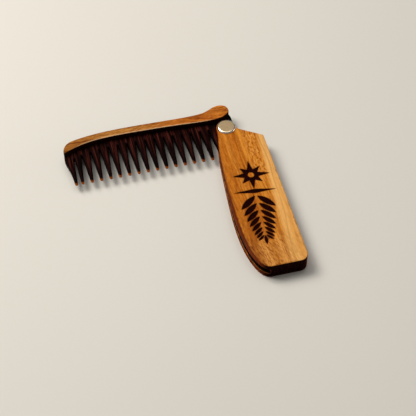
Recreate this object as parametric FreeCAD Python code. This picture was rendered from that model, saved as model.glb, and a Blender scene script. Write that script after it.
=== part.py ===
"""Folding wooden beard comb, laid flat on its back and opened to a right angle.

Millimetres. The origin is the pivot axis, at the back face that the comb rests on. +Z is the
thickness, out of the front face. The handle runs from the pivot along -Y and the comb along -X.
The handle is two scales with a spacer between them; the comb is a thin tooth plate with a cap
glued on each side of its spine, so the plate folds into the slot and the spine closes it.
"""
import FreeCAD, Part
import math
import os

os.makedirs("parts", exist_ok=True)

# Layers, from the rest plane up.
SCALE_T = 3.2
SLOT_T = 3.6
THICKNESS = 2 * SCALE_T + SLOT_T
SLOT_TOP = SCALE_T + SLOT_T
SIDE_GAP = 0.3
PLATE_BOTTOM = SCALE_T + SIDE_GAP
PLATE_TOP = SLOT_TOP - SIDE_GAP
PLATE_T = PLATE_TOP - PLATE_BOTTOM

# Handle outline.
NOSE_R = 5.9
NOSE_TOP_ANGLE = 95.0
HANDLE_END_Y = -104.5
HANDLE_RIGHT_X = 19.8
NEAR_CORNER_R = 5.0
SHOULDER_CORNER_R = 1.2
NOSE_FILLET_R = 2.5
SHOULDER_ANGLE = 57.6
SHOULDER_OFFSET = 1.53
SLOT_SIDE = [
    (-NOSE_R, 0.0),
    (-7.6, -11.0),
    (-9.6, -26.0),
    (-11.4, -47.0),
    (-12.45, -66.0),
    (-11.9, -82.5),
    (-9.0, -96.2),
    (-5.6, -102.3),
    (-1.5, HANDLE_END_Y),
]

# Spacer between the scales: a wall along the back of the handle and a block at its near end.
SPACER_WALL = 1.9
SPACER_TOP_Y = -12.0
SPACER_END_X = -2.0
SPACER_SWEEP_R = 98.6
SPACER_SWEEP_MIDDLE_ANGLE = 4.0
SPACER_INNER_R = 2.0

# Comb spine. The outer edge runs from the thumb lobe to the far tip, the inner edge back again.
LOBE_CORNER = (4.9, 13.4)
SPINE_TIP = (-97.1, 4.2)
SPINE_OUTER = [
    LOBE_CORNER,
    (3.9, 17.3),
    (0.4, 18.9),
    (-4.0, 18.1),
    (-9.0, 15.7),
    (-15.5, 14.5),
    (-30.0, 14.3),
    (-47.0, 14.6),
    (-63.8, 14.6),
    (-77.4, 13.8),
    (-88.3, 12.1),
    (-94.2, 9.85),
    SPINE_TIP,
]
OUTER_START = (0.05, 1.0)
OUTER_END = (-0.1, -1.0)
SPINE_INNER = [
    (-96.6, 3.0),
    (-90.0, 5.8),
    (-83.7, 7.8),
    (-77.5, 8.9),
    (-65.4, 9.7),
    (-51.4, 9.7),
    (-38.0, 9.4),
    (-24.4, 8.8),
    (-11.0, 8.1),
    (-4.0, 8.4),
    (1.1, 9.8),
    LOBE_CORNER,
]
INNER_START = (0.9, 0.44)
INNER_END = (0.35, 0.94)

# Teeth.
TOOTH_PITCH = 5.514
FIRST_TOOTH_X = -7.09
TOOTH_COUNT = 16
TOOTH_TIP_Y = -18.4
INNERMOST_TIP_Y = -15.8
TIP_HALF_WIDTH = 0.85
TIP_ROUND = 0.6
GAP_ROOT_HALF = 0.35
ROOT_Y = 5.0
ROOT_PIVOT_SIDE_X = -45.0
ROOT_FALL_TO_PIVOT = 0.04
ROOT_TIP_SIDE_X = -66.0
ROOT_FALL_TO_TIP = 0.0069
GUARD_TIP_X = -93.5
GUARD_OUTER = [
    SPINE_TIP,
    (-97.1, -0.8),
    (-96.0, -5.3),
    (-94.9, -11.0),
]
BEVEL_START_Y = -6.0
BEVEL_DEPTH = 0.35
TANG_R = 5.6
TANG_TOP_Y = 10.0

# Pivot.
POST_R = 2.5
POST_HOLE_R = 2.55
HEAD_R = 5.5
HEAD_FLAT_R = 4.3
HEAD_H = 1.2
HEAD_RIM_H = 0.25
HEAD_BULGE = 0.2
SCREW_R = 1.5
SCREW_HOLE_R = 1.55
SCREW_LENGTH = 6.0
SCREW_BORE_SPARE = 0.6
SCREW_HEAD_R = 4.5
SCREW_HEAD_T = 1.3
SCREW_RECESS = 0.1
COUNTERBORE_R = 4.7
SLOT_W = 1.0
SLOT_DEPTH = 0.6
BUSH_R = 3.5
BUSH_BORE_R = 2.56
WASHER_R = 5.4
WASHER_T = 0.25

# Burnt ornament on the front scale: a compass star, a tapered bar and a leafy sprig.
BURN_DEPTH = 0.3
ORNAMENT_CENTRE = (3.4, -51.5)
ORNAMENT_LEAN = 5.0
STAR_UP = 12.2
STAR_POINTS = 8
STAR_LONG = 10.6
STAR_SHORT = 8.0
STAR_WAIST = 4.3
STAR_EYE_R = 1.9
BAR_HALF = (11.8, 1.5)
LEAF_PAIRS = 8
LEAF_START = 3.6
LEAF_LONG = 12.5
LEAF_SHORT = 4.8
LEAF_FATNESS = 0.3
LEAF_PITCH = 0.44
LEAF_ANGLE = 46.0
STEM_GAP = 0.7
TIP_LEAF = 6.0

EDGE_ROUND = 0.4

# Reach of a cutting shape past what it cuts, so that no faces coincide.
PAST = 1.0
BEYOND = 200.0


def at(point, z=0.0):
    return FreeCAD.Vector(point[0], point[1], z)


def line(a, b):
    return Part.LineSegment(at(a), at(b)).toShape()


def arc(a, middle, b):
    return Part.Arc(at(a), at(middle), at(b)).toShape()


def curve(points, first, last):
    """A smooth curve through the points, with the directions that it starts and ends in."""
    lengths = [0.0]
    for a, b in zip(points, points[1:]):
        lengths.append(lengths[-1] + math.dist(a, b))
    spline = Part.BSplineCurve()
    spline.interpolate(Points=[at(p) for p in points], Parameters=lengths, Scale=False,
                       InitialTangent=at(first).normalize(), FinalTangent=at(last).normalize())
    return spline.toShape()


def plate(edges, bottom, top):
    """The flat outline made by the edges, as a solid between two heights."""
    wire = Part.Wire(Part.__sortEdges__(edges))
    solid = Part.Face(wire).extrude(FreeCAD.Vector(0, 0, top - bottom))
    solid.translate(FreeCAD.Vector(0, 0, bottom))
    return solid


def disc(radius, bottom, top):
    return Part.makeCylinder(radius, top - bottom, FreeCAD.Vector(0, 0, bottom))


def flat_edges(solid, z):
    """The edges that lie whole at one height."""
    box_of = [(edge, edge.BoundBox) for edge in solid.Edges]
    return [e for e, box in box_of if abs(box.ZMin - z) < 1e-4 and abs(box.ZMax - z) < 1e-4]


def softened(solid, z, radius):
    return solid.makeFillet(radius, flat_edges(solid, z))


def turned(point, degrees):
    angle = math.radians(degrees)
    c, s = math.cos(angle), math.sin(angle)
    return (point[0] * c - point[1] * s, point[0] * s + point[1] * c)


def shoulder_point(offset, along):
    """A point at a distance outside the pivot along the shoulder's normal, and along it."""
    normal = turned((1.0, 0.0), SHOULDER_ANGLE)
    down = turned(normal, -90.0)
    return (normal[0] * offset + down[0] * along, normal[1] * offset + down[1] * along)


def handle_outline():
    """Round nose, sloping shoulder, straight back, square near end, bowed slot side."""
    # Concave fillet where the nose meets the shoulder.
    reach = math.sqrt((NOSE_R + NOSE_FILLET_R) ** 2 - (SHOULDER_OFFSET + NOSE_FILLET_R) ** 2)
    centre = shoulder_point(SHOULDER_OFFSET + NOSE_FILLET_R, reach)
    size = math.hypot(*centre)
    nose_end = (centre[0] * NOSE_R / size, centre[1] * NOSE_R / size)
    shoulder_start = shoulder_point(SHOULDER_OFFSET, reach)
    inward = (nose_end[0] + shoulder_start[0] - 2 * centre[0],
              nose_end[1] + shoulder_start[1] - 2 * centre[1])
    length = math.hypot(*inward)
    fillet_middle = (centre[0] + NOSE_FILLET_R * inward[0] / length,
                     centre[1] + NOSE_FILLET_R * inward[1] / length)

    # Rounded corner where the shoulder meets the straight back.
    slope = math.radians(SHOULDER_ANGLE)
    corner_y = (SHOULDER_OFFSET - HANDLE_RIGHT_X * math.cos(slope)) / math.sin(slope)
    corner_centre_x = HANDLE_RIGHT_X - SHOULDER_CORNER_R
    corner_centre_y = ((SHOULDER_OFFSET - SHOULDER_CORNER_R - corner_centre_x * math.cos(slope))
                       / math.sin(slope))
    half = math.radians(SHOULDER_ANGLE / 2)
    shoulder_end = (corner_centre_x + SHOULDER_CORNER_R * math.cos(slope),
                    corner_centre_y + SHOULDER_CORNER_R * math.sin(slope))
    corner_middle = (corner_centre_x + SHOULDER_CORNER_R * math.cos(half),
                     corner_centre_y + SHOULDER_CORNER_R * math.sin(half))
    back_top = (HANDLE_RIGHT_X, corner_centre_y)

    near_centre = (HANDLE_RIGHT_X - NEAR_CORNER_R, HANDLE_END_Y + NEAR_CORNER_R)
    back_bottom = (HANDLE_RIGHT_X, near_centre[1])
    near_right = (near_centre[0], HANDLE_END_Y)
    diagonal = NEAR_CORNER_R * math.sqrt(0.5)
    near_middle = (near_centre[0] + diagonal, near_centre[1] - diagonal)
    return [
        arc(SLOT_SIDE[0], turned((NOSE_R, 0.0), NOSE_TOP_ANGLE), nose_end),
        arc(nose_end, fillet_middle, shoulder_start),
        line(shoulder_start, shoulder_end),
        arc(shoulder_end, corner_middle, back_top),
        line(back_top, back_bottom),
        arc(back_bottom, near_middle, near_right),
        line(near_right, SLOT_SIDE[-1]),
        curve(SLOT_SIDE, first=(0.0, -1.0), last=(1.0, 0.0)),
    ]


def leaf(base, direction, length):
    """One pointed leaf: two arcs that meet at its ends."""
    tip = (base[0] + length * direction[0], base[1] + length * direction[1])
    middle = ((base[0] + tip[0]) / 2, (base[1] + tip[1]) / 2)
    side = turned(direction, 90.0)
    bulge = length * LEAF_FATNESS / 2
    left = (middle[0] + side[0] * bulge, middle[1] + side[1] * bulge)
    right = (middle[0] - side[0] * bulge, middle[1] - side[1] * bulge)
    return [arc(base, left, tip), arc(tip, right, base)]


def ring(points):
    return [line(points[i - 1], points[i]) for i in range(len(points))]


def ornament():
    """The burnt recesses, set out along a line that leans with the handle's slot side."""
    along = turned((0.0, -1.0), -ORNAMENT_LEAN)
    across = turned(along, 90.0)

    def place(sideways, down):
        return (ORNAMENT_CENTRE[0] + across[0] * sideways + along[0] * down,
                ORNAMENT_CENTRE[1] + across[1] * sideways + along[1] * down)

    star = []
    for i in range(STAR_POINTS):
        reach = STAR_SHORT if i % 2 else STAR_LONG
        for radius, step in ((reach, i), (STAR_WAIST, i + 0.5)):
            x, y = turned((radius, 0.0), step * 360.0 / STAR_POINTS)
            star.append(place(x, y - STAR_UP))
    wide, thick = BAR_HALF
    bar = [place(-wide, 0.0), place(0.0, thick), place(wide, 0.0), place(0.0, -thick)]
    outlines = [ring(star), ring(bar)]

    down = LEAF_START
    for i in range(LEAF_PAIRS):
        length = LEAF_LONG + (LEAF_SHORT - LEAF_LONG) * i / (LEAF_PAIRS - 1)
        for sign in (-1, 1):
            outlines.append(leaf(place(sign * STEM_GAP, down), turned(along, sign * LEAF_ANGLE),
                                 length))
        down += length * LEAF_PITCH
    outlines.append(leaf(place(0.0, down - TIP_LEAF / 3), along, TIP_LEAF))
    bottom, top = THICKNESS - BURN_DEPTH, THICKNESS + PAST
    recesses = [plate(edges, bottom, top) for edges in outlines]
    eye = disc(STAR_EYE_R, bottom, top)
    eye.translate(at(place(0.0, -STAR_UP)))
    recesses[0] = recesses[0].cut(eye)
    return recesses


def front_scale():
    scale = softened(plate(handle_outline(), SLOT_TOP, THICKNESS), THICKNESS, EDGE_ROUND)
    scale = scale.cut(disc(POST_HOLE_R, SLOT_TOP - PAST, THICKNESS + PAST))
    for recess in ornament():
        scale = scale.cut(recess)
    return scale


def back_scale():
    scale = softened(plate(handle_outline(), 0.0, SCALE_T), 0.0, EDGE_ROUND)
    scale = scale.cut(disc(POST_HOLE_R, -PAST, SCALE_T + PAST))
    return scale.cut(disc(COUNTERBORE_R, -PAST, SCREW_HEAD_T + SCREW_RECESS))


def handle_spacer():
    """The handle's outline, less the space that the folded tooth plate sweeps."""
    body = plate(handle_outline(), SCALE_T, SLOT_TOP)
    inner_x = HANDLE_RIGHT_X - SPACER_WALL
    corner_r = SPACER_SWEEP_R - SPACER_INNER_R
    corner_x = inner_x - SPACER_INNER_R
    corner_y = -math.sqrt(corner_r ** 2 - corner_x ** 2)
    stretch = SPACER_SWEEP_R / corner_r
    arc_end = (corner_x * stretch, corner_y * stretch)
    wall_end = (inner_x, corner_y)
    turn = math.atan2(arc_end[1] - corner_y, arc_end[0] - corner_x) / 2
    corner_middle = (corner_x + SPACER_INNER_R * math.cos(turn),
                     corner_y + SPACER_INNER_R * math.sin(turn))
    sweep_end = (SPACER_END_X, -math.sqrt(SPACER_SWEEP_R ** 2 - SPACER_END_X ** 2))
    sweep_middle = turned((0.0, -SPACER_SWEEP_R), SPACER_SWEEP_MIDDLE_ANGLE)
    hollow = [
        line((inner_x, SPACER_TOP_Y), wall_end),
        arc(wall_end, corner_middle, arc_end),
        arc(arc_end, sweep_middle, sweep_end),
        line(sweep_end, (SPACER_END_X, -BEYOND)),
        line((SPACER_END_X, -BEYOND), (-BEYOND, -BEYOND)),
        line((-BEYOND, -BEYOND), (-BEYOND, BEYOND)),
        line((-BEYOND, BEYOND), (BEYOND, BEYOND)),
        line((BEYOND, BEYOND), (BEYOND, SPACER_TOP_Y)),
        line((BEYOND, SPACER_TOP_Y), (inner_x, SPACER_TOP_Y)),
    ]
    return body.cut(plate(hollow, SCALE_T - PAST, SLOT_TOP + PAST))


def spine_cap(bottom, top, outer_face):
    edges = [
        curve(SPINE_OUTER, OUTER_START, OUTER_END),
        line(SPINE_TIP, SPINE_INNER[0]),
        curve(SPINE_INNER, INNER_START, INNER_END),
    ]
    return softened(plate(edges, bottom, top), outer_face, EDGE_ROUND)


def root_y(x):
    """Height of the roots of the gaps, which follow the spine's inner edge."""
    to_pivot = max(0.0, x - ROOT_PIVOT_SIDE_X)
    to_tip = max(0.0, ROOT_TIP_SIDE_X - x)
    return ROOT_Y - ROOT_FALL_TO_PIVOT * to_pivot - ROOT_FALL_TO_TIP * to_tip ** 2


def tooth_edges():
    """Rounded tips and narrow roots, from the guard tooth at the far tip to the pivot."""
    centres = [GUARD_TIP_X]
    for i in reversed(range(TOOTH_COUNT)):
        centres.append(FIRST_TOOTH_X - i * TOOTH_PITCH)
    tips = [TOOTH_TIP_Y] * TOOTH_COUNT + [INNERMOST_TIP_Y]
    edges = []
    for i, (x, tip) in enumerate(zip(centres, tips)):
        left = (x - TIP_HALF_WIDTH, tip + TIP_ROUND)
        right = (x + TIP_HALF_WIDTH, tip + TIP_ROUND)
        edges.append(arc(left, (x, tip), right))
        if i + 1 < len(centres):
            gap_x = (x + centres[i + 1]) / 2
            root = root_y(gap_x)
            root_left = (gap_x - GAP_ROOT_HALF, root - GAP_ROOT_HALF)
            root_right = (gap_x + GAP_ROOT_HALF, root - GAP_ROOT_HALF)
            next_left = (centres[i + 1] - TIP_HALF_WIDTH, tips[i + 1] + TIP_ROUND)
            edges.append(line(right, root_left))
            edges.append(arc(root_left, (gap_x, root), root_right))
            edges.append(line(root_right, next_left))
    guard_end = (GUARD_TIP_X - TIP_HALF_WIDTH, TOOTH_TIP_Y + TIP_ROUND)
    guard = curve(GUARD_OUTER + [guard_end], first=(-0.1, -1.0), last=(0.1, -1.0))
    return [guard] + edges, (centres[-1] + TIP_HALF_WIDTH, tips[-1] + TIP_ROUND)


def tooth_bevel(face_z, direction):
    """The wedge taken off one face so that the teeth thin towards their tips."""
    far_y = TOOTH_TIP_Y - PAST
    share = (BEVEL_START_Y - far_y) / (BEVEL_START_Y - TOOTH_TIP_Y)
    outside = face_z + direction * PAST
    points = [
        FreeCAD.Vector(-BEYOND, BEVEL_START_Y, face_z),
        FreeCAD.Vector(-BEYOND, far_y, face_z - direction * BEVEL_DEPTH * share),
        FreeCAD.Vector(-BEYOND, far_y, outside),
        FreeCAD.Vector(-BEYOND, BEVEL_START_Y, outside),
    ]
    wedge = Part.Face(Part.makePolygon(points + points[:1]))
    return wedge.extrude(FreeCAD.Vector(2 * BEYOND, 0, 0))


def tooth_plate():
    teeth, last_tip = tooth_edges()
    tang_left = turned((TANG_R, 0.0), 190.0)
    tang_low = turned((TANG_R, 0.0), -60.0)
    edges = teeth + [
        line(last_tip, tang_left),
        arc(tang_left, tang_low, (TANG_R, 0.0)),
        line((TANG_R, 0.0), (TANG_R, TANG_TOP_Y)),
        curve([(TANG_R, TANG_TOP_Y), LOBE_CORNER], first=(0.0, 1.0), last=(-0.2, 1.0)),
        curve(SPINE_OUTER, OUTER_START, OUTER_END),
    ]
    solid = plate(edges, PLATE_BOTTOM, PLATE_TOP)
    solid = solid.cut(tooth_bevel(PLATE_TOP, 1))
    solid = solid.cut(tooth_bevel(PLATE_BOTTOM, -1))
    return solid.cut(disc(BUSH_R, PLATE_BOTTOM - PAST, PLATE_TOP + PAST))


def pivot_post():
    """Barrel with a low domed-rim button for a head, bored from the back for the screw."""
    head_base = THICKNESS
    rim = head_base + HEAD_RIM_H
    top = head_base + HEAD_H
    profile = [
        FreeCAD.Vector(0, 0, head_base),
        FreeCAD.Vector(HEAD_R, 0, head_base),
        FreeCAD.Vector(HEAD_R, 0, rim),
        FreeCAD.Vector(HEAD_FLAT_R, 0, top),
        FreeCAD.Vector(0, 0, top),
    ]
    bulge = FreeCAD.Vector((HEAD_R + HEAD_FLAT_R) / 2 + HEAD_BULGE, 0,
                           (rim + top) / 2 + HEAD_BULGE)
    edges = [
        Part.makeLine(profile[0], profile[1]),
        Part.makeLine(profile[1], profile[2]),
        Part.Arc(profile[2], bulge, profile[3]).toShape(),
        Part.makeLine(profile[3], profile[4]),
        Part.makeLine(profile[4], profile[0]),
    ]
    head = Part.Face(Part.Wire(edges)).revolve(FreeCAD.Vector(), FreeCAD.Vector(0, 0, 1), 360)
    barrel_bottom = SCREW_RECESS + SCREW_HEAD_T
    post = head.fuse(disc(POST_R, barrel_bottom, head_base)).removeSplitter()
    bore_top = barrel_bottom + SCREW_LENGTH + SCREW_BORE_SPARE
    return post.cut(disc(SCREW_HOLE_R, 0, bore_top))


def pivot_screw():
    bottom = SCREW_RECESS
    head = disc(SCREW_HEAD_R, bottom, bottom + SCREW_HEAD_T)
    head = softened(head, bottom, EDGE_ROUND)
    shank = disc(SCREW_R, bottom + SCREW_HEAD_T, bottom + SCREW_HEAD_T + SCREW_LENGTH)
    slot = Part.makeBox(4 * SCREW_HEAD_R, SLOT_W, SLOT_DEPTH + PAST,
                        FreeCAD.Vector(-2 * SCREW_HEAD_R, -SLOT_W / 2, bottom - PAST))
    return head.fuse(shank).removeSplitter().cut(slot)


def tube(outer, inner, bottom, top):
    return disc(outer, bottom, top).cut(disc(inner, bottom - PAST, top + PAST))


def main():
    parts = {
        "front_scale": front_scale(),
        "back_scale": back_scale(),
        "handle_spacer": handle_spacer(),
        "spine_cap_front": spine_cap(PLATE_TOP, THICKNESS, THICKNESS),
        "spine_cap_back": spine_cap(0.0, PLATE_BOTTOM, 0.0),
        "tooth_plate": tooth_plate(),
        "pivot_post": pivot_post(),
        "pivot_screw": pivot_screw(),
        "pivot_bush": tube(BUSH_R, BUSH_BORE_R, PLATE_BOTTOM, PLATE_TOP),
        "front_washer": tube(WASHER_R, POST_HOLE_R, SLOT_TOP - WASHER_T, SLOT_TOP),
        "back_washer": tube(WASHER_R, POST_HOLE_R, SCALE_T, SCALE_T + WASHER_T),
    }
    for name, solid in parts.items():
        solid.exportStep("parts/" + name + ".step")
        box = solid.BoundBox
        print(name, "valid", solid.isValid(), "solids", len(solid.Solids),
              "volume", round(solid.Volume, 1), "size",
              [round(v, 2) for v in (box.XLength, box.YLength, box.ZLength)])


main()
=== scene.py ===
"""Looks for the folding beard comb: wood grain, burnt edges and ornament, metal pivot, stage.

The wooden pieces are finer copies of their CAD nodes, in the same shape but for the teeth, which
are rounded over. Each point carries how far it is from a cut edge and from the burnt ornament.
"""
import math

import bmesh
import bpy
import numpy as np
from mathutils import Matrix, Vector
from mathutils.bvhtree import BVHTree
from mathutils.geometry import delaunay_2d_cdt


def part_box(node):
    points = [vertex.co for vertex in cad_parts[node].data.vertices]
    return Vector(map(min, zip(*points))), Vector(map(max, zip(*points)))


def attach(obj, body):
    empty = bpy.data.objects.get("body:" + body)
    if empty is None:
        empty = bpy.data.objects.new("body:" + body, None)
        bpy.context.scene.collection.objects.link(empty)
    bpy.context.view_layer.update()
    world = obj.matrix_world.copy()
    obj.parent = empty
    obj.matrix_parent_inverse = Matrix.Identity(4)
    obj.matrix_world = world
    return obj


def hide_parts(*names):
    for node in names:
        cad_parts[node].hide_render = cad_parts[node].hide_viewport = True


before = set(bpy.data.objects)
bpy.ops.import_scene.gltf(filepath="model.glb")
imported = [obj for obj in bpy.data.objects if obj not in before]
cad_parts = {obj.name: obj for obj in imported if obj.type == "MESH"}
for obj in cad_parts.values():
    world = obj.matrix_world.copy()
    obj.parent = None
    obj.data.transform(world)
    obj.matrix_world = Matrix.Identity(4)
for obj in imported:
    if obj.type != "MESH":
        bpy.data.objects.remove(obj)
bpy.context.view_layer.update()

MM = 0.001
LEVEL = 0.999           # a face flatter than this is part of a level face
SAME_PLANE = 0.99999    # neighbours closer than this in direction share a plane
WALL = 0.2              # a face steeper than this is a cut wall
TOUCHING = 1e-6         # points closer than this are one point
FRONT_Z = 10.0 * MM
BURN_DEPTH = 0.3 * MM
AT_FRONT = 0.01 * MM    # a wall that ends this near the front face belongs to the front

# ---------------------------------------------------------------- finer meshes for the wood

FAR = 10.0 * MM         # distances are only measured up to here
NET_CLEAR = 0.45        # free margin between the net and the rows along its edges, in pitches
ROW_SHARES = (0.25, 0.75)
ROW_KEPT = 0.97         # a row's point stays if no edge is nearer than this share of its depth
EDGE_PASSES = 6
LONGEST_EDGE = 1.0 * MM
SAME_SURFACE = math.radians(0.3)    # faces that meet at less than this are merged
NO_LENGTH = 1e-9


def flat_regions(bm):
    """Groups of connected faces that lie in one level or nearly level plane."""
    level = {f for f in bm.faces if abs(f.normal.z) > LEVEL}
    regions = []
    while level:
        first = level.pop()
        region, front = {first}, [first]
        while front:
            face = front.pop()
            for edge in face.edges:
                for other in edge.link_faces:
                    if other in level and other.normal.dot(face.normal) > SAME_PLANE:
                        level.discard(other)
                        region.add(other)
                        front.append(other)
        regions.append(region)
    return regions


def distances(points, segments):
    """Distance in XY from each point to the nearest of the segments, up to a limit."""
    corners, strips = [], []
    for a, b in segments:
        first = len(corners)
        corners += [(*a, -MM), (*b, -MM), (*b, MM), (*a, MM)]
        strips.append(range(first, first + 4))
    upright = BVHTree.FromPolygons(corners, strips)
    found = [upright.find_nearest((x, y, 0.0), FAR)[3] for x, y in points]
    return np.array([FAR if d is None else d for d in found])


def inside(points, segments):
    """Which points lie inside the closed outlines that the segments make, holes left out."""
    crossings = np.zeros(len(points), int)
    for a, b in segments:
        spans = (a[1] > points[:, 1]) != (b[1] > points[:, 1])
        if not spans.any():
            continue
        x = a[0] + (points[:, 1] - a[1]) * (b[0] - a[0]) / (b[1] - a[1])
        crossings += spans & (points[:, 0] < x)
    return crossings % 2 == 1


def xy(vert):
    """Where a vertex lies on the plan."""
    return np.array((vert.co.x, vert.co.y))


def net_points(segments, pitch, rows):
    """An even net of points inside the outlines, and rows of points along their edges."""
    ends = np.array([p for segment in segments for p in segment])
    low, high = ends.min(0), ends.max(0)
    rise = pitch * math.sqrt(0.75)
    net = []
    for j in range(int((high[1] - low[1]) / rise) + 1):
        shift = pitch / 2 if j % 2 else 0.0
        for i in range(int((high[0] - low[0]) / pitch) + 1):
            net.append((low[0] + shift + i * pitch, low[1] + j * rise))
    net = np.array(net)
    net = net[inside(net, segments)]
    clear = max(rows) if rows else 0.0
    net = net[distances(net, segments) > clear + pitch * NET_CLEAR]
    lines = [net]
    for depth in rows:
        beside = []
        for a, b in segments:
            side = np.array((b[1] - a[1], a[0] - b[0])) / max(np.hypot(*(b - a)), NO_LENGTH)
            for share in ROW_SHARES:
                spot = a + (b - a) * share
                beside += [spot + side * depth, spot - side * depth]
        beside = np.array(beside)
        beside = beside[inside(beside, segments)]
        beside = beside[distances(beside, segments) > depth * ROW_KEPT]
        lines.append(beside)
    return np.concatenate(lines)


def refine_region(bm, region, pitch, rows):
    """Replaces one flat region by a fine net of triangles with the same outline."""
    up = sum(f.normal.z for f in region) > 0
    rim = [e for e in {e for f in region for e in f.edges}
           if sum(f in region for f in e.link_faces) == 1]
    verts = list({v for e in rim for v in e.verts})
    index = {v: i for i, v in enumerate(verts)}
    segments = [(xy(e.verts[0]), xy(e.verts[1])) for e in rim]
    face = next(iter(region))
    plane_at, plane_normal = face.verts[0].co.copy(), face.normal.copy()
    extra = net_points(segments, pitch, rows)
    points = [Vector(xy(v)) for v in verts] + [Vector(p) for p in extra]
    edges = [(index[e.verts[0]], index[e.verts[1]]) for e in rim]
    out_points, _, triangles, origins, _, _ = delaunay_2d_cdt(points, edges, [], 0, NO_LENGTH)
    flat = np.array([(p.x, p.y) for p in out_points])
    centres = np.array([flat[list(t)].mean(0) for t in triangles])
    keep = inside(centres, segments)

    bmesh.ops.delete(bm, geom=list(region), context="FACES_ONLY")
    made = []
    for point, came_from in zip(out_points, origins):
        known = [i for i in came_from if i < len(verts)]
        if known:
            made.append(verts[known[0]])
            continue
        drop = ((point.x - plane_at.x) * plane_normal.x + (point.y - plane_at.y) * plane_normal.y)
        made.append(bm.verts.new((point.x, point.y, plane_at.z - drop / plane_normal.z)))
    for triangle, kept in zip(triangles, keep):
        if not kept:
            continue
        order = triangle if up else reversed(triangle)
        corners = [made[i] for i in order]
        if len(set(corners)) == 3 and not bm.faces.get(corners):
            bm.faces.new(corners)


def fine_copy(node, pitch, rows=()):
    """A copy of a CAD node whose flat faces carry a fine net, as a bmesh."""
    bm = bmesh.new()
    bm.from_mesh(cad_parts[node].data)
    bmesh.ops.remove_doubles(bm, verts=bm.verts, dist=TOUCHING)
    bmesh.ops.dissolve_limit(bm, angle_limit=SAME_SURFACE, verts=bm.verts, edges=bm.edges,
                             delimit=set())
    for _ in range(EDGE_PASSES):
        long_edges = [e for e in bm.edges
                      if e.calc_length() > LONGEST_EDGE and len(e.link_faces) == 2
                      and max(abs(f.normal.z) for f in e.link_faces) > LEVEL
                      and e.link_faces[0].normal.dot(e.link_faces[1].normal) < SAME_PLANE]
        if not long_edges:
            break
        bmesh.ops.subdivide_edges(bm, edges=long_edges, cuts=1)
    bm.normal_update()
    for region in flat_regions(bm):
        refine_region(bm, region, pitch, rows)
    bmesh.ops.delete(bm, geom=[e for e in bm.edges if not e.link_faces], context="EDGES")
    bmesh.ops.triangulate(bm, faces=[f for f in bm.faces if len(f.verts) > 4])
    bm.normal_update()
    return bm


# ---------------------------------------------------------------- wooden pieces

FINE_NET = 0.8 * MM
TOOTH_NET = 0.6 * MM
TOOTH_ROWS = (0.15 * MM, 0.35 * MM, 0.65 * MM)
TOOTH_ROUND = 0.8 * MM
TOOTH_ROUND_DEPTH = 0.45 * MM
TOOTH_ROUND_FROM_Y = 7.0 * MM
TOOTH_ROUND_FULL_Y = 5.4 * MM
PIVOT_HOLES_R = 5.0 * MM
CUT_SLOPE = 0.5         # the charred walls reach up a rounded edge to this steepness
SHARP = math.radians(32)    # edges that turn by more stay crisp


def cut_outlines(bm):
    """XY segments of the cut walls and of the burnt recess's shallow walls, in two lists."""
    cuts, motif = [], []
    for face in bm.faces:
        if abs(face.normal.z) > WALL:
            continue
        heights = [v.co.z for v in face.verts]
        shallow = max(heights) - min(heights) < 1.2 * BURN_DEPTH
        at_front = max(heights) > FRONT_Z - AT_FRONT
        for edge in face.edges:
            a, b = xy(edge.verts[0]), xy(edge.verts[1])
            if np.hypot(*(b - a)) < TOUCHING or np.hypot(*a) < PIVOT_HOLES_R:
                continue
            (motif if shallow and at_front else cuts).append((a, b))
    return cuts, motif


def write_distance(mesh, name, segments):
    """Stores each vertex's distance from the segments, in millimetres, as a point attribute."""
    points = [(v.co.x, v.co.y) for v in mesh.vertices]
    values = distances(points, segments) / MM
    mesh.attributes.new(name, "FLOAT", "POINT").data.foreach_set("value", values)


def round_teeth(bm, cuts):
    """Rounds the teeth over on both faces, fading out under the spine."""
    edges = [s for s in cuts if s[0][1] < TOOTH_ROUND_FROM_Y]
    verts = list(bm.verts)
    points = np.array([(v.co.x, v.co.y) for v in verts])
    depth = np.clip(distances(points, edges) / TOOTH_ROUND, 0.0, 1.0)
    drop = TOOTH_ROUND_DEPTH * (1.0 - np.sqrt(1.0 - (1.0 - depth) ** 2))
    fade = (TOOTH_ROUND_FROM_Y - points[:, 1]) / (TOOTH_ROUND_FROM_Y - TOOTH_ROUND_FULL_Y)
    drop *= np.clip(fade, 0.0, 1.0)
    low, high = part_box("tooth_plate")
    middle = (low.z + high.z) / 2
    for vert, d in zip(verts, drop):
        vert.co.z += -d if vert.co.z > middle else d


def is_charred(polygon):
    """Cut walls, and the floor of the burnt ornament."""
    floor_z = FRONT_Z - BURN_DEPTH
    return abs(polygon.normal.z) < CUT_SLOPE or abs(polygon.center.z - floor_z) < 0.1 * BURN_DEPTH


def wooden(node, body, wood, char=None, pitch=FINE_NET, rows=(), shape=None):
    """Puts a fine copy in a wooden CAD node's place, with its distances from the cut edges.

    char is the material of its cut walls and the ornament's floor. shape, where it is given,
    rounds the copy over.
    """
    bm = fine_copy(node, pitch, rows)
    cuts, motif = cut_outlines(bm)
    if shape:
        shape(bm, cuts)
    mesh = bpy.data.meshes.new(node + "_wood")
    bm.normal_update()
    bm.to_mesh(mesh)
    bm.free()
    write_distance(mesh, "edge_mm", cuts)
    if motif:
        write_distance(mesh, "motif_mm", motif)
    mesh.shade_smooth()
    mesh.set_sharp_from_angle(angle=SHARP)
    mesh.materials.append(wood)
    if char:
        mesh.materials.append(char)
        for polygon in mesh.polygons:
            polygon.material_index = int(is_charred(polygon))
    piece = bpy.data.objects.new(node + "_wood", mesh)
    bpy.context.scene.collection.objects.link(piece)
    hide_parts(node)
    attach(piece, body)


# ---------------------------------------------------------------- node helpers

GRAIN_SHADE = (0.60, 0.47, 0.32, 1.0)
GRAIN_WANDER = 4.8 * MM  # how far the grain strays, for a swing of the noise from 0 to 1


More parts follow.
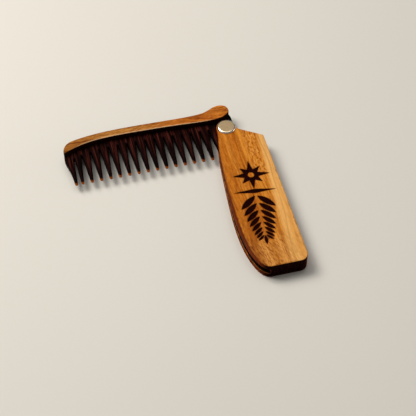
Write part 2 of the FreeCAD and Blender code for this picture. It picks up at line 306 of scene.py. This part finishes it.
class Tree:
    """A material's node tree, built by short calls."""

    def __init__(self, name):
        self.material = bpy.data.materials.new(name)
        self.material.use_nodes = True
        self.nodes = self.material.node_tree.nodes
        self.links = self.material.node_tree.links
        self.nodes.clear()
        self.shader = self.nodes.new("ShaderNodeBsdfPrincipled")
        output = self.nodes.new("ShaderNodeOutputMaterial")
        self.links.new(self.shader.outputs["BSDF"], output.inputs["Surface"])
        self.coords = self.nodes.new("ShaderNodeTexCoord")

    def feed(self, socket, value):
        """Links a node's output to the socket, or sets the socket to a plain value."""
        if isinstance(value, bpy.types.NodeSocket):
            self.links.new(value, socket)
        elif value is not None:
            socket.default_value = value

    def math(self, operation, a, b=None):
        node = self.nodes.new("ShaderNodeMath")
        node.operation = operation
        self.feed(node.inputs[0], a)
        self.feed(node.inputs[1], b)
        return node.outputs[0]

    def ramp(self, value, low, high, to_low=0.0, to_high=1.0):
        """A smooth step from one value to another as the input goes from low to high."""
        node = self.nodes.new("ShaderNodeMapRange")
        node.interpolation_type = "SMOOTHSTEP"
        for name, v in (("Value", value), ("From Min", low), ("From Max", high),
                        ("To Min", to_low), ("To Max", to_high)):
            self.feed(node.inputs[name], v)
        return node.outputs["Result"]

    def mix(self, factor, a, b, blend="MIX"):
        """Two colours mixed, or the first one blended with the second."""
        node = self.nodes.new("ShaderNodeMix")
        node.data_type = "RGBA"
        node.blend_type = blend
        node.clamp_factor = True
        self.feed(node.inputs["Factor"], factor)
        self.feed(node.inputs[6], a)
        self.feed(node.inputs[7], b)
        return node.outputs[2]

    def split(self, vector):
        node = self.nodes.new("ShaderNodeSeparateXYZ")
        self.feed(node.inputs[0], vector)
        return node.outputs

    def vector(self, operation, a, b=None):
        node = self.nodes.new("ShaderNodeVectorMath")
        node.operation = operation
        self.feed(node.inputs[0], a)
        self.feed(node.inputs[1], b)
        return node.outputs["Vector"]

    def stretched(self, scale, source=None):
        """Object coordinates, or another vector, in features per metre along each axis."""
        return self.vector("MULTIPLY", source or self.coords.outputs["Object"], scale)

    def turned(self, degrees, source=None, offset=(0.0, 0.0, 0.0)):
        """A vector turned back about Z, so that its first axis runs at that angle, and moved."""
        node = self.nodes.new("ShaderNodeMapping")
        node.inputs["Rotation"].default_value = (0.0, 0.0, -math.radians(degrees))
        node.inputs["Location"].default_value = offset
        self.links.new(source or self.coords.outputs["Object"], node.inputs["Vector"])
        return node.outputs["Vector"]

    def grain(self, along, seed):
        """Coordinates whose first axis runs along the grain, which wanders a little sideways.

        along is the grain's direction in the row frame, in degrees from +X.
        """
        straight = self.turned(along, offset=(seed, seed * 0.7, seed * 0.3))
        drift = self.noise(self.stretched((28.0, 60.0, 60.0), straight), 1.0)
        aside = self.nodes.new("ShaderNodeCombineXYZ")
        self.feed(aside.inputs[1], self.product(self.math("SUBTRACT", drift, 0.5), GRAIN_WANDER))
        return self.vector("ADD", straight, aside.outputs["Vector"])

    def product(self, *values):
        """All the values multiplied together."""
        total = values[0]
        for value in values[1:]:
            total = self.math("MULTIPLY", total, value)
        return total

    def shaded(self, amount, colour):
        """The colour darkened and reddened by some amount, as wood is in its denser grain."""
        return self.mix(amount, colour, self.mix(1.0, colour, GRAIN_SHADE, "MULTIPLY"))

    def banded(self, bands, pair):
        """One colour of a pair running over into the other along the wood's broad bands."""
        return self.mix(self.ramp(bands, 0.42, 0.58), *pair)

    def within(self, value, low, high, soft):
        """1 between two limits, 0 outside them, with soft ends."""
        return self.product(self.ramp(value, low - soft, low + soft),
                            self.ramp(value, high - soft, high + soft, 1.0, 0.0))

    def attribute(self, name):
        """A number stored on the mesh's points."""
        node = self.nodes.new("ShaderNodeAttribute")
        node.attribute_name = name
        return node.outputs["Fac"]

    def noise(self, vector, detail, roughness=0.55, distortion=0.0):
        """Smooth noise over a vector that already counts features along each axis."""
        node = self.nodes.new("ShaderNodeTexNoise")
        self.feed(node.inputs["Vector"], vector)
        for name, v in (("Scale", 1.0), ("Detail", detail), ("Roughness", roughness),
                        ("Distortion", distortion)):
            node.inputs[name].default_value = v
        return node.outputs["Fac"]

    def surface(self, colour, roughness, height, strength, distance):
        """Gives the shader its colour, its roughness and a fine relief of that height."""
        bump = self.nodes.new("ShaderNodeBump")
        bump.inputs["Strength"].default_value = strength
        bump.inputs["Distance"].default_value = distance
        self.feed(bump.inputs["Height"], height)
        self.feed(self.shader.inputs["Base Color"], colour)
        self.feed(self.shader.inputs["Roughness"], roughness)
        self.feed(self.shader.inputs["Normal"], bump.outputs["Normal"])


def rgb(r, g, b):
    """Linear colour from 0-255 display values."""
    def linear(v):
        v /= 255.0
        return v / 12.92 if v <= 0.04045 else ((v + 0.055) / 1.055) ** 2.4
    return (linear(r), linear(g), linear(b), 1.0)


# ---------------------------------------------------------------- wood materials

PALE_STRIP = (rgb(222, 152, 70), rgb(236, 176, 98))
LOW_TAN = (rgb(206, 134, 54), rgb(224, 156, 78))
LOBE_RED = (rgb(210, 120, 32), rgb(234, 148, 54))
TIP_BROWN = (rgb(156, 96, 32), rgb(172, 112, 44))
# painted highlight along the spine's rim on the teeth's side
ARRIS_HIGHLIGHT = rgb(232, 188, 140)
FLECK = rgb(228, 158, 76)
SCORCH = rgb(96, 35, 3)
# painted shade for the faces inside the slot
SLOT_SHADE = rgb(22, 7, 3)
SLOT_Z = (3.1 * MM, 6.9 * MM)   # just past the slot's two faces
PORE_SLANT = 24.0       # degrees off the grain

# Where things lie on the handle's face. The pale strip's border leans with its slope in x per y.
STRIP_BORDER = 16.0 * MM
STRIP_SLOPE = 0.067
RIPPLES_X = (7.5 * MM, 14.5 * MM)
RIPPLES_Y = (-48.0 * MM, -36.0 * MM)
LOW_END_Y = (-94.0 * MM, -80.0 * MM)

END_GRAIN = (rgb(19, 1, 1), rgb(66, 13, 8))
TOOTH_FLANK_SHADE = rgb(9, 2, 2)
TOOTH_GROUND = (rgb(8, 1, 1), rgb(26, 5, 3))
TOOTH_STREAK = rgb(84, 34, 25)
TIP_BARE_Y = -17.2 * MM     # the teeth are bare wood beyond this
TIP_BARE = (rgb(132, 56, 10), rgb(206, 112, 36))


def scorch_handle(tree, colour, edge, wobble):
    """A scorched brown band along the bowed slot side, widest low down, and round the ornament."""
    x, y, _ = tree.split(tree.coords.outputs["Object"])
    width = tree.product(tree.ramp(y, -72.0 * MM, -30.0 * MM, 1.3, 0.25),
                         tree.ramp(y, -96.0 * MM, -84.0 * MM, 0.45, 1.0))
    bowed = tree.product(tree.ramp(x, -8.5 * MM, -5.0 * MM, 1.0, 0.0),
                         tree.ramp(y, -60.0 * MM, -14.0 * MM, 1.0, 0.2))
    past = tree.math("SUBTRACT", edge, width)
    band = tree.product(tree.ramp(past, -0.3, 0.3, 1.0, 0.0), bowed)
    haze = tree.product(tree.ramp(past, 0.0, 1.7, 0.28, 0.0), bowed)
    near = tree.math("ADD", tree.attribute("motif_mm"), wobble)
    halo = tree.ramp(near, -0.1, 0.6, 0.7, 0.0)
    for amount in (band, haze, halo):
        colour = tree.mix(amount, colour, SCORCH)
    return colour


def wood(name, along, tones, seed, streaky=0.55, tint=None, motif=False):
    """Oiled hardwood: bands, dark streaks, flecks, fibres and pores, scorched along its cuts.

    tint may repaint the bands. It also says how much pale flecks and slanting pores show, and
    where the grain is calmer.
    """
    tree = Tree(name)
    grain = tree.grain(along, seed)
    bands = tree.noise(tree.stretched((6.0, 150.0, 110.0), grain), 1.0)
    streaks = tree.noise(tree.stretched((24.0, 800.0, 500.0), grain), 2.0, 0.6)
    flecks = tree.noise(tree.stretched((340.0, 820.0, 700.0), grain), 1.0, 0.6, 0.9)
    fibres = tree.noise(tree.stretched((130.0, 1500.0, 1200.0), grain), 3.0, 0.7)
    slanted = tree.turned(PORE_SLANT, grain)
    pores = tree.noise(tree.stretched((260.0, 1900.0, 1600.0), slanted), 1.0)
    rings = tree.noise(tree.stretched((3.5, 70.0, 60.0), grain), 1.0)

    colour = tree.banded(bands, tones)
    fleck_zone = pore_zone = 0.5
    calm = 0.0
    if tint:
        colour, fleck_zone, pore_zone, calm = tint(tree, colour, bands)
    plain = colour
    colour = tree.shaded(tree.ramp(streaks, 0.40, 0.62, 0.0, streaky), colour)
    bright = tree.product(tree.ramp(flecks, 0.52, 0.60), fleck_zone)
    colour = tree.mix(tree.product(bright, 0.6), colour, FLECK)
    colour = tree.shaded(tree.product(tree.ramp(flecks, 0.36, 0.48, 0.9, 0.0), fleck_zone), colour)
    ring_line = tree.math("ABSOLUTE", tree.math("SUBTRACT", rings, 0.5))
    colour = tree.shaded(tree.ramp(ring_line, 0.004, 0.022, 0.75, 0.0), colour)
    colour = tree.shaded(tree.ramp(fibres, 0.34, 0.54, 0.75, 0.0), colour)
    pitted = tree.product(tree.ramp(pores, 0.54, 0.61), pore_zone)
    colour = tree.shaded(pitted, colour)
    colour = tree.mix(calm, colour, plain)

    # A brown haze beside the cuts.
    wobble = tree.noise(tree.stretched((420.0, 420.0, 420.0)), 2.0)
    wobble = tree.product(tree.math("SUBTRACT", wobble, 0.5), 0.9)
    edge = tree.math("ADD", tree.attribute("edge_mm"), wobble)
    colour = tree.shaded(tree.ramp(edge, 0.1, 0.8, 0.35, 0.0), colour)
    if motif:
        colour = scorch_handle(tree, colour, edge, wobble)

    # The faces inside the slot get painted shade: dark all over but their outer rim.
    height = tree.split(tree.coords.outputs["Object"])[2]
    slot_shade = tree.product(tree.within(height, *SLOT_Z, 0.05 * MM),
                          tree.ramp(edge, 0.1, 0.45, 0.3, 1.0))
    colour = tree.mix(slot_shade, colour, SLOT_SHADE)

    relief = tree.math("SUBTRACT", tree.product(fibres, 0.6), tree.product(pitted, 0.6))
    relief = tree.math("SUBTRACT", relief, tree.product(streaks, 0.4))
    tree.surface(colour, tree.ramp(fibres, 0.25, 0.7, 0.42, 0.6), relief, 0.35, 0.06 * MM)
    tree.shader.inputs["Specular IOR Level"].default_value = 0.05
    return tree.material


def handle_tint(tree, colour, bands):
    """Paler outer wood down the straight back, flecks by the pivot, slanting pores low down."""
    x, y, _ = tree.split(tree.coords.outputs["Object"])
    across = tree.math("SUBTRACT", x, tree.product(y, STRIP_SLOPE))
    wander = tree.noise(tree.stretched((260.0, 26.0, 60.0)), 2.0)
    across = tree.math("ADD", across, tree.product(wander, 2.0 * MM))
    pale = tree.banded(bands, PALE_STRIP)
    outer = tree.ramp(across, STRIP_BORDER + 0.6 * MM, STRIP_BORDER + 2.8 * MM)
    colour = tree.mix(outer, colour, pale)
    border = tree.within(across, STRIP_BORDER - 0.5 * MM, STRIP_BORDER + 0.5 * MM, 0.6 * MM)
    colour = tree.shaded(tree.product(border, 0.5), colour)

    low = tree.ramp(y, *LOW_END_Y, 1.0, 0.0)
    low_tan = tree.mix(outer, tree.banded(bands, LOW_TAN), pale)
    colour = tree.mix(tree.product(low, 0.9), colour, low_tan)
    by_pivot = tree.product(tree.within(x, *RIPPLES_X, 1.0 * MM), tree.ramp(y, *RIPPLES_Y))
    ripples = tree.math("MAXIMUM", by_pivot, tree.product(low, 0.35))
    flecks = tree.math("MAXIMUM", ripples, 0.25)
    pores = tree.ramp(low, 0.0, 0.7, 0.25, 1.0)
    return colour, flecks, pores, tree.product(outer, 0.5)


def cap_tint(tree, colour, bands):
    """The spine is browner at the far tip and redder at the thumb lobe, with a painted highlight
    along its toothward edge.
    """
    x, y, _ = tree.split(tree.coords.outputs["Object"])
    reddish = tree.banded(bands, LOBE_RED)
    colour = tree.mix(tree.ramp(x, -62.0 * MM, -15.0 * MM, 0.0, 0.9), colour, reddish)
    browned = tree.banded(bands, TIP_BROWN)
    colour = tree.mix(tree.ramp(x, -84.0 * MM, -60.0 * MM, 0.95, 0.0), colour, browned)
    # A painted highlight along the rim on the teeth's side.
    toothward = tree.product(tree.ramp(y, 10.2 * MM, 11.6 * MM, 1.0, 0.0),
                             tree.within(x, -88.0 * MM, -8.0 * MM, 8.0 * MM))
    at_rim = tree.ramp(tree.attribute("edge_mm"), 0.25, 0.7, 1.0, 0.0)
    arris_highlight = tree.product(at_rim, toothward)
    colour = tree.mix(arris_highlight, colour, ARRIS_HIGHLIGHT)
    return colour, 0.25, 0.8, tree.product(arris_highlight, 0.8)


def charred(name, across_axis, side):
    """Cut walls: nearly black on the end grain, the given colour on the side grain.

    across_axis is the axis across the grain, which the side-grain walls face.
    """
    tree = Tree(name)
    across = tree.split(tree.coords.outputs["Normal"])[across_axis]
    kerf = tree.noise(tree.stretched((1500.0, 1500.0, 120.0)), 3.0, 0.6)
    blotch = tree.noise(tree.stretched((150.0, 150.0, 300.0)), 2.0)
    black = tree.mix(tree.ramp(kerf, 0.48, 0.8), *END_GRAIN)
    brown = tree.mix(tree.ramp(kerf, 0.35, 0.7), tree.mix(0.55, side, black), side)
    amount = tree.product(tree.ramp(tree.math("ABSOLUTE", across), 0.55, 0.95),
                          tree.ramp(blotch, 0.3, 0.6, 0.55, 1.0))
    tree.surface(tree.mix(amount, black, brown), tree.ramp(kerf, 0.3, 0.7, 0.65, 0.8),
                 kerf, 0.4, 0.05 * MM)
    tree.shader.inputs["Specular IOR Level"].default_value = 0.02
    return tree.material


def dark_teeth(name):
    """Nearly black red-brown wood, streaked along the teeth, with bare orange tips and painted
    shade along the edges of the teeth.
    """
    tree = Tree(name)
    fibres = tree.noise(tree.stretched((3200.0, 45.0, 1800.0)), 1.0)
    bands = tree.noise(tree.stretched((520.0, 30.0, 300.0)), 1.0)
    y = tree.split(tree.coords.outputs["Object"])[1]
    streak = tree.product(tree.ramp(fibres, 0.54, 0.63), tree.ramp(bands, 0.36, 0.58),
                          tree.ramp(y, -14.0 * MM, 0.0, 0.3, 1.0))
    ground = tree.mix(tree.ramp(bands, 0.35, 0.65), *TOOTH_GROUND)
    colour = tree.mix(streak, ground, TOOTH_STREAK)
    # Painted shade: the teeth darken towards their cut edges, over their rounded flanks.
    margin = tree.ramp(tree.attribute("edge_mm"), 0.35, 1.1, 0.9, 0.0)
    colour = tree.mix(margin, colour, TOOTH_FLANK_SHADE)
    level = tree.math("ABSOLUTE", tree.split(tree.coords.outputs["Normal"])[2])
    tip = tree.product(tree.ramp(y, TIP_BARE_Y - 0.4 * MM, TIP_BARE_Y, 1.0, 0.0),
                       tree.ramp(level, 0.5, 0.95, 1.0, 0.0))
    colour = tree.mix(tip, colour, tree.mix(fibres, *TIP_BARE))
    tree.surface(colour, tree.ramp(fibres, 0.2, 0.8, 0.5, 0.62), fibres, 0.3, 0.05 * MM)
    tree.shader.inputs["Specular IOR Level"].default_value = 0.015
    return tree.material


# ---------------------------------------------------------------- metal and nylon

BRUSH = (4000.0, 160.0, 4000.0)
BEVEL_ROUGH = 0.16
SMUDGE_ROUGH = 0.14
SMUDGE_SHADE = (0.75, 0.75, 0.75, 1.0)


def metal(name, flat, bevel, rough):
    """Brushed on its level faces, polished and paler on its bevels, with faint smudges."""
    tree = Tree(name)
    brushed = tree.noise(tree.stretched(BRUSH), 3.0)
    smudge = tree.noise(tree.stretched((420.0, 420.0, 420.0)), 4.0, 0.55, 0.5)
    level = tree.math("ABSOLUTE", tree.split(tree.coords.outputs["Normal"])[2])
    level = tree.ramp(level, 0.9, 0.99)
    worn = tree.mix(tree.ramp(smudge, 0.4, 0.7, 0.0, 0.6), flat,
                    tree.mix(1.0, flat, SMUDGE_SHADE, "MULTIPLY"))
    satin = tree.math("ADD", tree.product(smudge, SMUDGE_ROUGH),
                      rough - SMUDGE_ROUGH / 2 - BEVEL_ROUGH)
    roughness = tree.math("ADD", tree.product(satin, level), BEVEL_ROUGH)
    tree.surface(tree.mix(level, bevel, worn), roughness, brushed, 0.12, 0.01 * MM)
    tree.shader.inputs["Metallic"].default_value = 1.0
    return tree.material


def nylon(name):
    """Natural nylon, faintly mottled."""
    tree = Tree(name)
    mottled = tree.noise(tree.stretched((900.0, 900.0, 900.0)), 3.0)
    colour = tree.mix(mottled, rgb(205, 198, 180), rgb(228, 224, 212))
    tree.feed(tree.shader.inputs["Base Color"], colour)
    tree.feed(tree.shader.inputs["Roughness"], tree.ramp(mottled, 0.3, 0.7, 0.42, 0.55))
    return tree.material


def give(material, *names):
    """Puts a material on CAD nodes that keep their own meshes."""
    for name in names:
        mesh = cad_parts[name].data
        mesh.materials.clear()
        mesh.materials.append(material)


# ---------------------------------------------------------------- the pieces

handle_wood = wood("handle_wood", 90.0, (rgb(197, 114, 25), rgb(218, 138, 44)), 0.29,
                   tint=handle_tint, motif=True)
back_wood = wood("back_wood", 90.0, (rgb(206, 124, 32), rgb(224, 146, 52)), 0.61)
cap_wood = wood("cap_wood", -4.0, (rgb(182, 124, 58), rgb(204, 146, 78)), 0.37, 0.75, cap_tint)
tooth_wood = dark_teeth("tooth_wood")
handle_char = charred("handle_char", 0, rgb(150, 66, 24))
cap_char = charred("cap_char", 1, rgb(46, 16, 10))

wooden("front_scale", "handle", handle_wood, handle_char)
wooden("back_scale", "handle", back_wood, handle_char)
wooden("handle_spacer", "handle", back_wood, handle_char)
wooden("spine_cap_front", "comb", cap_wood, cap_char)
wooden("spine_cap_back", "comb", cap_wood, cap_char)
wooden("tooth_plate", "comb", tooth_wood, None, TOOTH_NET, TOOTH_ROWS, round_teeth)

give(metal("button_metal", (0.84, 0.60, 0.33, 1.0), (0.86, 0.84, 0.78, 1.0), 0.34), "pivot_post")
give(metal("screw_metal", (0.55, 0.54, 0.5, 1.0), (0.7, 0.69, 0.66, 1.0), 0.35), "pivot_screw")
give(metal("bush_brass", (0.78, 0.55, 0.22, 1.0), (0.8, 0.58, 0.26, 1.0), 0.3), "pivot_bush")
give(nylon("washer_nylon"), "front_washer", "back_washer")


# ---------------------------------------------------------------- stage

LOOK_AT = Vector((-23.45, -49.26, 0.0)) * MM
CAMERA_AT = Vector((-121.5, -443.6, 501.8)) * MM
LENS = 97.8
SENSOR_WIDTH = 36.0
FLOOR_HALF = 3.0
FLOOR_Z = -0.05 * MM    # a hair under the part, so that the two surfaces never coincide
FLOOR_TONES = (rgb(216, 210, 199), rgb(221, 216, 206))
WORLD_COLOUR = (1.0, 0.99, 0.97, 1.0)
WORLD_STRENGTH = 0.15
WHITE = (1.0, 1.0, 1.0)
LIGHTS = (              # name, place, size, power in watts, colour
    ("key", (-0.5, 0.4, 0.85), (0.55, 0.55), 10.0, (1.0, 0.98, 0.95)),
    ("overhead", (0.1, 0.3, 1.25), (0.9, 0.7), 3.8, WHITE),
    ("left_card", (-0.85, -0.2, 0.3), (0.3, 0.3), 0.2, WHITE),
    ("right_card", (0.9, -0.15, 0.15), (0.4, 0.3), 0.8, WHITE),
)


def aim(thing, target):
    """Turns a camera or light from where it stands towards a point."""
    thing.rotation_mode = "QUATERNION"
    thing.rotation_quaternion = (target - thing.location).to_track_quat("-Z", "Y")


def camera():
    """The photo's view: from the near side, well above, looking down at the part."""
    data = bpy.data.cameras.new("camera")
    data.lens = LENS
    data.sensor_width = SENSOR_WIDTH
    data.clip_start = 0.01
    data.clip_end = 20.0
    thing = bpy.data.objects.new("camera", data)
    bpy.context.scene.collection.objects.link(thing)
    thing.location = CAMERA_AT
    aim(thing, LOOK_AT)
    bpy.context.scene.camera = thing


def area_light(name, place, size, power, colour):
    """A soft rectangular light aimed at the part."""
    data = bpy.data.lights.new(name, "AREA")
    data.shape = "RECTANGLE"
    data.size, data.size_y = size
    data.energy = power
    data.color = colour
    thing = bpy.data.objects.new(name, data)
    bpy.context.scene.collection.objects.link(thing)
    thing.location = place
    aim(thing, LOOK_AT)


def floor():
    """A pale plain floor just under the part."""
    mesh = bpy.data.meshes.new("floor")
    half, z = FLOOR_HALF, FLOOR_Z
    mesh.from_pydata([(-half, -half, z), (half, -half, z), (half, half, z), (-half, half, z)],
                     [], [(0, 1, 2, 3)])
    thing = bpy.data.objects.new("floor", mesh)
    bpy.context.scene.collection.objects.link(thing)
    tree = Tree("floor")
    tone = tree.noise(tree.stretched((3.0, 3.0, 3.0)), 2.0)
    colour = tree.mix(tone, *FLOOR_TONES)
    tree.feed(tree.shader.inputs["Base Color"], colour)
    tree.shader.inputs["Roughness"].default_value = 0.7
    mesh.materials.append(tree.material)


def surroundings():
    """Weak, even light from all round."""
    world = bpy.data.worlds.new("world")
    bpy.context.scene.world = world
    world.use_nodes = True
    background = world.node_tree.nodes["Background"]
    background.inputs["Color"].default_value = WORLD_COLOUR
    background.inputs["Strength"].default_value = WORLD_STRENGTH
    bpy.context.scene.view_settings.view_transform = "Standard"


camera()
floor()
surroundings()
for light in LIGHTS:
    area_light(*light)
